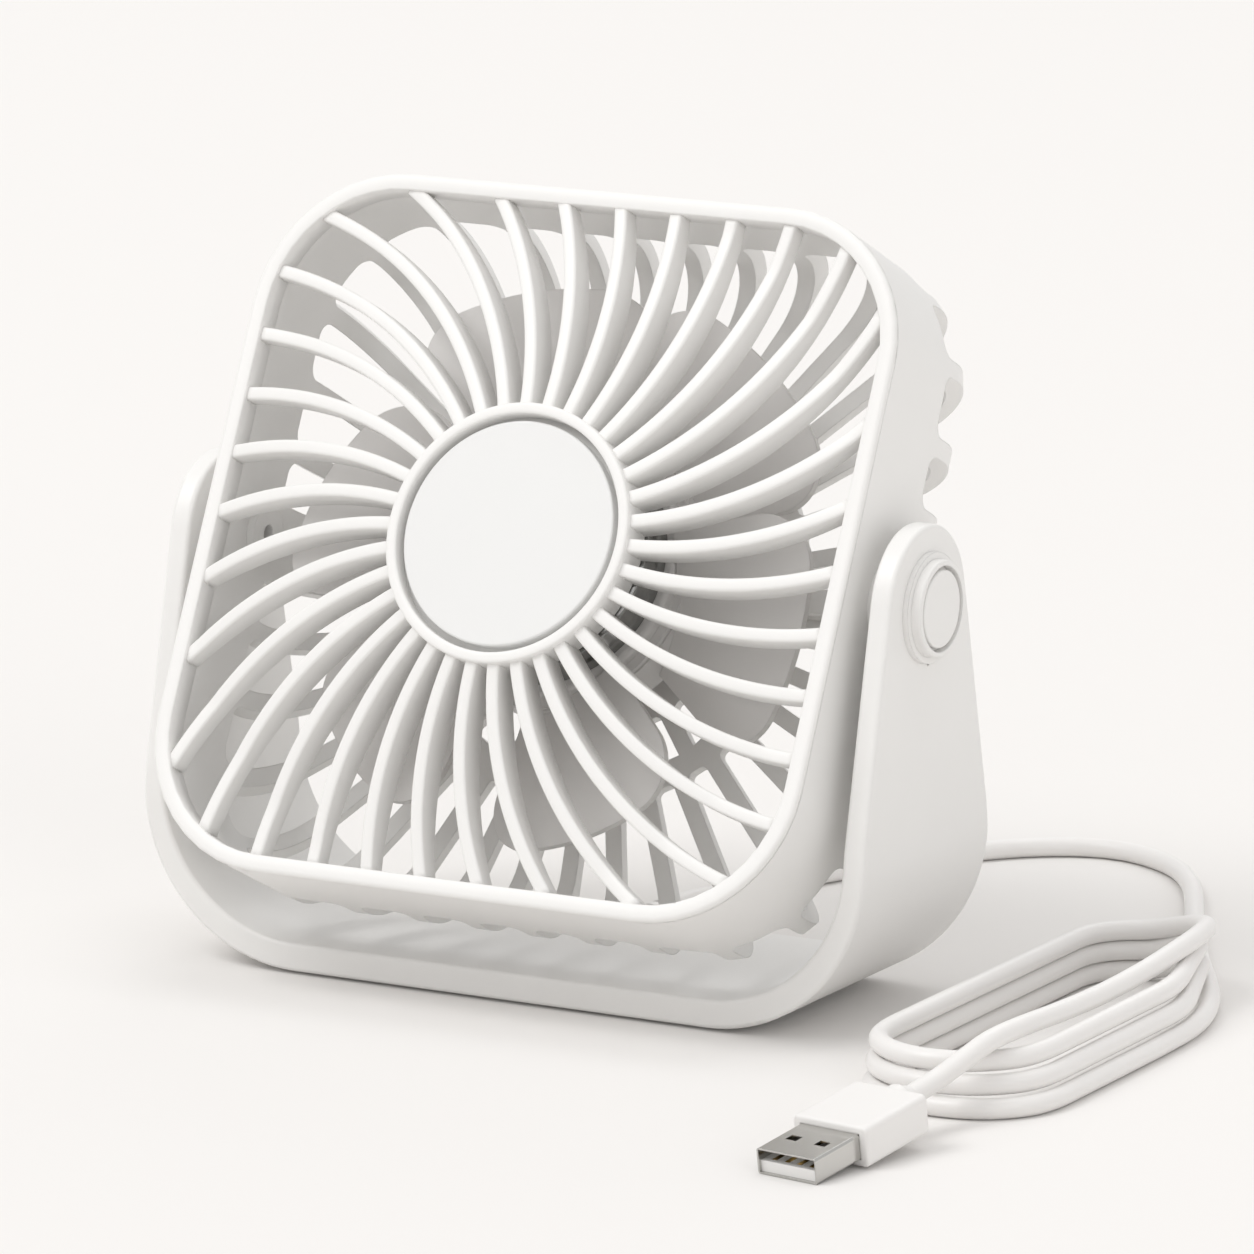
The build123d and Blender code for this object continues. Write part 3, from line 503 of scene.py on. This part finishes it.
def square_ring(size, radius, n, steps=10):
    """Points round a rounded square at height n."""
    half = size / 2 - radius
    points = []
    for quarter, (sx, sy) in enumerate([(1, 1), (-1, 1), (-1, -1), (1, -1)]):
        for i in range(steps + 1):
            a = pi / 2 * (quarter + i / steps)
            points.append(Vector((sx * half + radius * cos(a), sy * half + radius * sin(a), n)))
    return points


def profile_around(shape, profile, steps=128):
    """Turns a closed (radius, n) profile about the head's axis."""
    rings = []
    for i in range(steps):
        a = 2 * pi * i / steps
        rings.append([Vector((r * cos(a), r * sin(a), n)) for r, n in profile])
    loops = [[shape.verts.new(p) for p in ring] for ring in rings]
    loops.append(loops[0])
    for a, b in zip(loops, loops[1:]):
        for i in range(len(profile)):
            j = (i + 1) % len(profile)
            shape.faces.new((a[i], a[j], b[j], b[i]))


def rounded_profile(corners, radius, steps=4):
    """A convex profile with each corner replaced by a small arc."""
    result = []
    count = len(corners)
    for i, corner in enumerate(corners):
        here = Vector(corner)
        before = (Vector(corners[i - 1]) - here).normalized()
        after = (Vector(corners[(i + 1) % count]) - here).normalized()
        a, b = here + before * radius, here + after * radius
        for s in range(steps + 1):
            t = s / steps
            result.append(tuple((1 - t) ** 2 * a + 2 * t * (1 - t) * here + t**2 * b))
    return result


def make_grille(shape):
    for k in range(RIB_COUNT):
        skin(shape, rib_rings(RIB_START + 2 * pi * k / RIB_COUNT))
    edge = 0.3
    sections = [(SPIGOT_IN, SPIGOT_N), (SPIGOT_IN, SEAM_N), (0.0, SEAM_N)]
    sections += [
        (EDGE_R * (1 - cos(a)), FACE_N - EDGE_R * (1 - sin(a)))
        for a in (0, pi / 8, pi / 4, 3 * pi / 8, pi / 2)
    ]
    sections += [
        (BEZEL_T - edge, FACE_N),
        (BEZEL_T - edge / 3, FACE_N - edge / 3),
        (BEZEL_T, FACE_N - edge),
        (BEZEL_T, SPIGOT_N),
    ]
    rim = [square_ring(HEAD_W - 2 * inset, HEAD_R - inset, n) for inset, n in sections]
    loops = [[shape.verts.new(p) for p in ring] for ring in rim]
    loops.append(loops[0])
    for a, b in zip(loops, loops[1:]):
        for i in range(len(a)):
            j = (i + 1) % len(a)
            shape.faces.new((a[i], a[j], b[j], b[i]))
    inner = HUB_RING_R - HUB_RING_T
    corners = [
        (inner, HUB_SKIRT_N),
        (HUB_RING_R, HUB_SKIRT_N),
        (HUB_RING_R, HUB_FACE_N),
        (inner, HUB_FACE_N),
    ]
    profile_around(shape, rounded_profile(corners, HUB_RING_EDGE))
    web = HUB_FACE_N - 4.6
    profile_around(shape, [(2.05, web), (inner + 0.5, web), (inner + 0.5, web + 1.4), (2.05, web + 1.4)])


grille = build("grille", rib_abs, make_grille, "head", ["front_grille"])

# ---- Desk, backdrop and light --------------------------------------------------------
# One pale sweep and large soft lights, as in a small product studio.
def paper():
    material, tree, place, output = start_material("pale_paper")
    skin_node = add(tree, "BsdfDiffuse", {"Color": linear("#eeecea"), "Roughness": 0.5})
    tree.links.new(skin_node.outputs["BSDF"], output.inputs["Surface"])
    return material


floor_mesh = bpy.data.meshes.new("desk")
floor_mesh.from_pydata([(-6, -6, 0), (6, -6, 0), (6, 6, 0), (-6, 6, 0)], [], [(0, 1, 2, 3)])
floor_mesh.materials.append(paper())
floor = bpy.data.objects.new("desk", floor_mesh)
bpy.context.collection.objects.link(floor)


def softbox(name, place, target, size, power, colour="#ffffff"):
    """A large square area light that points at a target."""
    data = bpy.data.lights.new(name, "AREA")
    data.shape = "SQUARE"
    data.size = size
    data.energy = power
    data.color = linear(colour)[:3]
    made = bpy.data.objects.new(name, data)
    made.location = place
    away = Vector(place) - Vector(target)
    made.rotation_euler = away.to_track_quat("Z", "Y").to_euler()
    bpy.context.collection.objects.link(made)


softbox("key", (-2.1, -2.7, 4.5), (0, 0, 0.05), 2.6, 108.0)
softbox("fill", (4.4, -2.4, 2.2), (0, 0, 0.06), 3.2, 18.0)
softbox("top", (0.3, 0.9, 4.6), (0, 0, 0.05), 2.6, 30.0)
softbox("sweep", (-1.2, 4.0, 3.0), (-0.7, 1.5, 0.0), 2.0, 18.0)

world = bpy.data.worlds.new("studio")
bpy.context.scene.world = world
world.use_nodes = True
world.node_tree.nodes["Background"].inputs["Color"].default_value = linear("#fdfcfb")
world.node_tree.nodes["Background"].inputs["Strength"].default_value = 0.72

scene = bpy.context.scene
scene.render.engine = "CYCLES"
scene.view_settings.view_transform = "Standard"
scene.view_settings.exposure = 0.0
